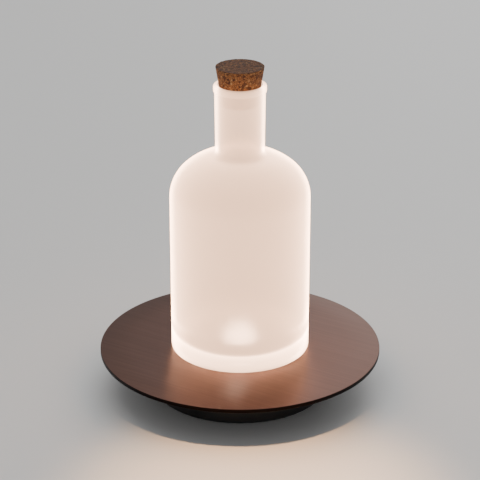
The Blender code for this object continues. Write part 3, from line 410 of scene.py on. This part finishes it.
def makePlate(shape):
    low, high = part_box("plate")
    radius, under, top = high.x / mm, low.z / mm, high.z / mm
    chamfer, edge = shape["chamfer"], shape["holeEdge"]
    floor = top - shape["grooveDepth"]
    outline = [(shape["lightHole"], under), (50, under), (70, under)]
    outline += arcPoints(radius - chamfer, under + chamfer, chamfer, -90, 0, 4)
    outline += arcPoints(radius - chamfer, top - chamfer, chamfer, 0, 90, 4)
    outline += [(70, top), (55, top), (shape["grooveOut"] + edge, top), (shape["grooveOut"], top - edge),
                (shape["grooveOut"], floor), (shape["grooveIn"], floor), (shape["grooveIn"], top - edge),
                (shape["grooveIn"] - edge, top), (shape["lightHole"] + edge, top),
                (shape["lightHole"], top - edge), (shape["lightHole"], under)]
    piece = turnPiece("plate_disc", outline, shape["steps"], 30)
    for angle in shape["screwAngles"]:
        turn = math.radians(angle)
        circle = shape["screwCircle"] * mm
        spot = (circle * math.cos(turn), circle * math.sin(turn))
        cutters = []
        deselectAll()
        bpy.ops.mesh.primitive_cylinder_add(vertices=48, radius=shape["screwHole"] * mm, depth=8 * mm,
                                            location=(*spot, under * mm))
        cutters.append(bpy.context.object)
        deselectAll()
        sink = shape["headDepth"] + shape["headClear"]
        slope = (shape["screwHead"] - shape["screwHole"]) / (shape["headDepth"] - shape["headRim"])
        bpy.ops.mesh.primitive_cone_add(
            vertices=48, radius1=shape["screwHole"] * mm,
            radius2=(shape["screwHole"] + slope * sink) * mm, depth=sink * mm,
            location=(*spot, (top - shape["headDepth"] + sink / 2) * mm))
        cutters.append(bpy.context.object)
        for cutter in cutters:
            applyModifier(piece, "BOOLEAN", object=cutter, operation="DIFFERENCE", solver="EXACT")
            bpy.data.objects.remove(cutter)
    makeActive(piece)
    bpy.ops.object.shade_smooth_by_angle(angle=math.radians(30))
    return piece


def brushedBronze(look, top):
    # brushed aluminium, anodised bronze brown: fine straight lines that stretch every reflection
    # across them; its edge and underside are near-black
    material, tree, shader, place = startMaterial(
        "brushed bronze-brown anodised aluminium", Metallic=1.0, Anisotropic=look["anisotropy"])
    grain = math.radians(look["grainAngle"])
    turned = addNode(tree, "ShaderNodeMapping", {"Vector": place}, {"Rotation": (0, 0, -grain)})
    lines = addNode(tree, "ShaderNodeMapping", {"Vector": turned.outputs["Vector"]},
                    {"Scale": (patternScale(look["grainLengthMm"]), patternScale(look["grainWidthMm"]), 1)})
    # brush lines are 0.05 to 0.2 mm wide, drawn coarser so that they show
    fine = addNode(tree, "ShaderNodeTexNoise", {"Vector": lines.outputs["Vector"]},
                   {"Scale": 1.0, "Detail": 4.0, "Roughness": 0.65})
    broad = addNode(tree, "ShaderNodeMapping", {"Vector": turned.outputs["Vector"]},
                    {"Scale": (patternScale(look["bandLengthMm"]), patternScale(look["bandWidthMm"]), 1)})
    bands = addNode(tree, "ShaderNodeTexNoise", {"Vector": broad.outputs["Vector"]},
                    {"Scale": 1.0, "Detail": 2.0})
    both = addNode(tree, "ShaderNodeMath", {0: fine.outputs["Fac"], 1: bands.outputs["Fac"]},
                   operation="ADD")
    spread = addNode(tree, "ShaderNodeMapRange", {"Value": both.outputs["Value"]},
                     {"From Min": 0.66, "From Max": 1.34})
    tone = addNode(tree, "ShaderNodeMix", {0: spread.outputs["Result"]},
                   {6: linearColour(look["dark"]), 7: linearColour(look["light"])}, data_type="RGBA")
    height = addNode(tree, "ShaderNodeSeparateXYZ", {"Vector": place})
    onTop = addNode(tree, "ShaderNodeMapRange", {"Value": height.outputs["Z"]},
                    {"From Min": top - look["topFadeFrom"] * mm, "From Max": top - look["topFadeTo"] * mm})
    colour = addNode(tree, "ShaderNodeMix", {0: onTop.outputs["Result"], 7: tone.outputs[2]},
                     {6: linearColour(look["edge"])}, data_type="RGBA")
    tree.links.new(colour.outputs[2], shader.inputs["Base Color"])
    rough = addNode(tree, "ShaderNodeMapRange", {"Value": fine.outputs["Fac"]},
                    {"From Min": 0.3, "From Max": 0.7,
                     "To Min": look["roughLow"], "To Max": look["roughHigh"]})
    tree.links.new(rough.outputs["Result"], shader.inputs["Roughness"])
    # reflections stretch across the brush lines
    across = addNode(tree, "ShaderNodeCombineXYZ", values={
        "X": -math.sin(grain), "Y": math.cos(grain), "Z": 0.0})
    tree.links.new(across.outputs["Vector"], shader.inputs["Tangent"])
    bump = addNode(tree, "ShaderNodeBump", {"Height": fine.outputs["Fac"]},
                   {"Strength": 0.12, "Distance": 0.05 * mm})
    tree.links.new(bump.outputs["Normal"], shader.inputs["Normal"])
    return material


plateDisc = makePlate(plate)
finishPiece(plateDisc, "base", "bronze_plate", brushedBronze(plate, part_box("plate")[1].z), "plate")
print("plate:", len(plateDisc.data.polygons), "faces")


# light dome: opal polycarbonate, lit from inside, sizes in millimetres

dome = {
    "radius": 10.2, "wall": 2.0, "flangeRadius": 12.0, "flangeTop": 31.4, "flangeEdge": 0.2, "steps": 96,
    "hazeMm": 1.2, "tint": "fff4e6", "glow": "fff0e2", "glowStrength": 200.0,
}


def makeDome(shape):
    foot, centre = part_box("lens")[0].z / mm, shape["flangeTop"]
    inner = shape["radius"] - shape["wall"]
    flange, edge = shape["flangeRadius"], shape["flangeEdge"]
    outline = arcPoints(0, centre, inner, 90, 0, 14)
    outline += [(inner, foot), (flange - edge, foot), (flange, foot + edge),
                (flange, centre - edge), (flange - edge, centre)]
    outline += arcPoints(0, centre, shape["radius"], 0, 90, 18)
    return turnPiece("light_dome", outline, shape["steps"], 40)


def opalPlastic(look):
    # opal polycarbonate: white pigment scatters the light so that the whole dome glows evenly
    material, tree, shader, place = startMaterial(
        "opal polycarbonate", Base_Color=linearColour(look["tint"]), IOR=1.58,
        Emission_Color=linearColour(look["glow"]), Emission_Strength=look["glowStrength"])
    haze = addNode(tree, "ShaderNodeTexNoise", {"Vector": place},
                   {"Scale": patternScale(look["hazeMm"]), "Detail": 3.0})
    rough = addNode(tree, "ShaderNodeMapRange", {"Value": haze.outputs["Fac"]},
                    {"To Min": 0.32, "To Max": 0.42})
    tree.links.new(rough.outputs["Result"], shader.inputs["Roughness"])
    bump = addNode(tree, "ShaderNodeBump", {"Height": haze.outputs["Fac"]},
                   {"Strength": 0.1, "Distance": 0.05 * mm})
    tree.links.new(bump.outputs["Normal"], shader.inputs["Normal"])
    return material


lightDome = makeDome(dome)
finishPiece(lightDome, "base", "opal_plastic", opalPlastic(dome), "lens")
print("light dome:", len(lightDome.data.polygons), "faces")


# seat ring: silicone that centres the bottle, sizes in millimetres

seat = {
    "inner": 34.7, "outer": 41.2, "rim": 36.5, "rimEdge": 0.6, "rimFoot": 0.3, "edge": 0.2,
    "top": 29.0, "steps": 160,
}


def makeSeat(shape):
    low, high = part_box("seat_ring")
    foot, crest, top = low.z / mm, high.z / mm, shape["top"]
    inner, outer, rim = shape["inner"], shape["outer"], shape["rim"]
    edge, rimEdge, rimFoot = shape["edge"], shape["rimEdge"], shape["rimFoot"]
    outline = [(inner, foot), (outer, foot), (outer, top - edge), (outer - edge, top),
               (rim + rimFoot, top), (rim, top + rimFoot)]
    outline += arcPoints(rim - rimEdge, crest - rimEdge, rimEdge, 0, 90, 5)
    outline += [(inner + edge, crest), (inner, crest - edge), (inner, foot)]
    return turnPiece("seat_cushion", outline, shape["steps"], 40)


# pieces that keep the CAD shape: each copy is merged and its edges softened

softened = {  # piece: (CAD node, slot, edge rounding in mm)
    "foot_shell": ("foot", "black_metal", 0.0),
    "base_cover": ("bottom_cover", "black_plastic", 0.0),
    "foot_ring": ("foot_pad", "black_rubber", 0.25),
    "dome_holder": ("lens_ring", "black_plastic", 0.12),
    "power_button": ("button_cap", "button_plastic", 0.12),
    "inlet_shell": ("charging_inlet", "tinned_steel", 0.0),
}


def softenCopy(name, source, rounding):
    # the node's own shape as one joined surface, shaded smooth where it is turned
    deselectAll()
    piece = nodes[source].copy()
    piece.data = nodes[source].data.copy()
    piece.name = piece.data.name = name
    for key in [key for key in piece.keys() if key.startswith("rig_")]:
        del piece[key]
    piece.parent = None
    bpy.context.scene.collection.objects.link(piece)
    makeActive(piece)
    bpy.ops.object.mode_set(mode="EDIT")
    bpy.ops.mesh.select_all(action="SELECT")
    bpy.ops.mesh.remove_doubles(threshold=2e-6)
    bpy.ops.mesh.dissolve_limited(angle_limit=math.radians(0.5))
    bpy.ops.object.mode_set(mode="OBJECT")
    if rounding:
        applyModifier(piece, "BEVEL", width=rounding * mm, segments=2, limit_method="ANGLE",
                      angle_limit=math.radians(40))
    makeActive(piece)
    bpy.ops.object.shade_smooth_by_angle(angle=math.radians(32))
    return piece


# finishes of the small and inner pieces, by material slot: what it is, two tones, grain in mm,
# roughness from and to, bump in mm, and how metallic

finishes = {
    "silicone": ("moulded grey silicone", "4b4a48", "5c5b58", 0.8, 0.62, 0.75, 0.03, 0.0),
    "black_plastic": ("moulded black ABS with a spark-eroded texture",
                      "0d0d0e", "19191a", 0.5, 0.5, 0.66, 0.04, 0.0),
    "black_metal": ("black satin powder coat", "030303", "060606", 0.45, 0.42, 0.55, 0.025, 0.0),
    "black_rubber": ("black moulded silicone rubber", "0c0c0c", "171717", 0.7, 0.72, 0.88, 0.04, 0.0),
    "turned_aluminium": ("turned aluminium", "a9a9aa", "c4c4c6", 0.3, 0.26, 0.4, 0.02, 1.0),
    "zinc_steel": ("zinc-plated steel", "9a9b9f", "b9bbc0", 0.6, 0.28, 0.42, 0.02, 1.0),
    "white_board": ("white solder mask over aluminium", "dcdbd4", "eceae4", 1.2, 0.30, 0.40, 0.01, 0.0),
    "led_phosphor": ("phosphor-filled silicone over the LED",
                     "e8a83c", "f6c860", 0.35, 0.40, 0.55, 0.02, 0.0),
    "green_board": ("green solder mask on glass epoxy",
                    "0c3a22", "14502f", 1.5, 0.28, 0.40, 0.015, 0.0),
    "chip_epoxy": ("moulded black epoxy", "101011", "1c1c1d", 0.3, 0.55, 0.70, 0.02, 0.0),
    "tinned_steel": ("tinned steel", "a4a4a3", "bdbdbb", 0.5, 0.25, 0.38, 0.01, 1.0),
    "ferrite": ("pressed ferrite", "2a2a2c", "3a3a3c", 0.4, 0.55, 0.72, 0.03, 0.0),
    "white_nylon": ("moulded white nylon", "d8d5ca", "e6e3da", 0.9, 0.45, 0.58, 0.02, 0.0),
    "button_plastic": ("satin black button plastic", "101011", "191a1b", 0.5, 0.38, 0.50, 0.02, 0.0),
    "battery_foil": ("laminated pouch foil", "8f9094", "b4b5b9", 2.5, 0.28, 0.42, 0.12, 1.0),
    "foam": ("closed-cell foam tape", "2c2c2c", "3c3c3b", 0.4, 0.85, 0.95, 0.08, 0.0),
    "red_sleeve": ("red PVC sleeve", "8c1210", "a31a16", 1.0, 0.32, 0.42, 0.01, 0.0),
    "black_sleeve": ("black PVC sleeve", "0f0f10", "1b1b1c", 1.0, 0.32, 0.42, 0.01, 0.0),
}
cloudMm = 9.0  # the size of the uneven patches in the gloss of these finishes


def innerFinish(look):
    # a moulded, coated or plated surface: two close tones, uneven gloss and a fine relief
    what, dark, light, grainMm, roughFrom, roughTo, bumpMm, metal = look
    material, tree, shader, place = startMaterial(what, Metallic=metal)
    grain = addNode(tree, "ShaderNodeTexNoise", {"Vector": place},
                    {"Scale": patternScale(grainMm), "Detail": 4.0})
    cloud = addNode(tree, "ShaderNodeTexNoise", {"Vector": place},
                    {"Scale": patternScale(cloudMm), "Detail": 2.0})
    both = addNode(tree, "ShaderNodeMath", {0: grain.outputs["Fac"], 1: cloud.outputs["Fac"]},
                   operation="ADD")
    spread = addNode(tree, "ShaderNodeMapRange", {"Value": both.outputs["Value"]},
                     {"From Min": 0.7, "From Max": 1.3})
    tone = addNode(tree, "ShaderNodeMix", {0: spread.outputs["Result"]},
                   {6: linearColour(dark), 7: linearColour(light)}, data_type="RGBA")
    tree.links.new(tone.outputs[2], shader.inputs["Base Color"])
    rough = addNode(tree, "ShaderNodeMapRange", {"Value": cloud.outputs["Fac"]},
                    {"From Min": 0.3, "From Max": 0.7, "To Min": roughFrom, "To Max": roughTo})
    tree.links.new(rough.outputs["Result"], shader.inputs["Roughness"])
    bump = addNode(tree, "ShaderNodeBump", {"Height": grain.outputs["Fac"]},
                   {"Strength": 0.5, "Distance": bumpMm * mm})
    tree.links.new(bump.outputs["Normal"], shader.inputs["Normal"])
    return material


made = {slotName: innerFinish(look) for slotName, look in finishes.items()}
seatCushion = makeSeat(seat)
finishPiece(seatCushion, "base", "silicone", made["silicone"], "seat_ring")
for name, (source, slotName, rounding) in softened.items():
    body = nodes[source]["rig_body"]
    finishPiece(softenCopy(name, source, rounding), body, slotName, made[slotName], source)
# a CAD node that stays comes with a plain material named for its slot
for node in nodes.values():
    for slot in node.material_slots:
        if not node.hide_render and slot.material and slot.material.name in made:
            slot.material = made[slot.material.name]
print("inner pieces finished")


# floor, light and camera, in metres

studio = {
    "floorSize": 8.0, "floorGrain": 90.0, "floorTone": "c9c8c6",
    "worldTone": "f7f8fa", "worldStrength": 0.62,
    "overheadSize": 2.4, "overheadPower": 26.0, "overheadPlace": (-0.1, 0.4, 2.2),
    "overheadTarget": (0.0, 0.0, 0.0),
    "sideSize": 1.4, "sidePower": 14.0, "sidePlace": (0.7, 2.2, 1.15), "sideTarget": (0.0, 0.0, 0.1),
    "poolTone": "ffc690", "poolPower": 74.0, "poolRadius": 0.02, "poolSpread": 19.0,
    "poolPlace": (0.02, -0.26, 0.8), "poolTarget": (0.012, -0.155, 0.0),
}
camera = {"place": (0.0, -1.0481, 0.5487), "target": (0.0, 0.0, 0.1012), "lens": 135.47, "sensor": 36.0}


def aimAt(thing, target):
    direction = Vector(target) - thing.location
    thing.rotation_euler = direction.to_track_quat("-Z", "Y").to_euler()


def softLight(name):
    deselectAll()
    bpy.ops.object.light_add(type="AREA", location=studio[name + "Place"])
    light = bpy.context.object
    light.name = name
    light.data.size = studio[name + "Size"]
    light.data.energy = studio[name + "Power"]
    aimAt(light, studio[name + "Target"])


deselectAll()
bpy.ops.mesh.primitive_plane_add(size=studio["floorSize"], location=(0, 0, 0))
floor = bpy.context.object
floor.name = "floor"
floorMaterial, floorTree, floorShader, floorPlace = startMaterial(
    "matt pale table top", Base_Color=linearColour(studio["floorTone"]))
floorGrain = addNode(floorTree, "ShaderNodeTexNoise", {"Vector": floorPlace},
                     {"Scale": studio["floorGrain"], "Detail": 4.0})
floorRough = addNode(floorTree, "ShaderNodeMapRange", {"Value": floorGrain.outputs["Fac"]},
                     {"To Min": 0.5, "To Max": 0.6})
floorTree.links.new(floorRough.outputs["Result"], floorShader.inputs["Roughness"])
floor.data.materials.append(floorMaterial)

world = bpy.data.worlds.new("studio")
bpy.context.scene.world = world
world.use_nodes = True
background = world.node_tree.nodes["Background"].inputs
background["Color"].default_value = linearColour(studio["worldTone"])
background["Strength"].default_value = studio["worldStrength"]
softLight("overhead")

# the warm pool of light in front of the lamp gives no highlight on the metal or in the glass
deselectAll()
bpy.ops.object.light_add(type="SPOT", location=studio["poolPlace"])
pool = bpy.context.object
pool.name = "pool"
pool.data.color = linearColour(studio["poolTone"])[:3]
pool.data.energy = studio["poolPower"]
pool.data.shadow_soft_size = studio["poolRadius"]
pool.data.spot_size = math.radians(studio["poolSpread"])
pool.data.spot_blend = 1.0
pool.visible_glossy = False
pool.visible_transmission = False
aimAt(pool, studio["poolTarget"])
softLight("side")

deselectAll()
bpy.ops.object.camera_add(location=camera["place"])
shot = bpy.context.object
shot.data.sensor_width = camera["sensor"]
shot.data.lens = camera["lens"]
aimAt(shot, camera["target"])
bpy.context.scene.camera = shot
print("floor, lights and camera set")
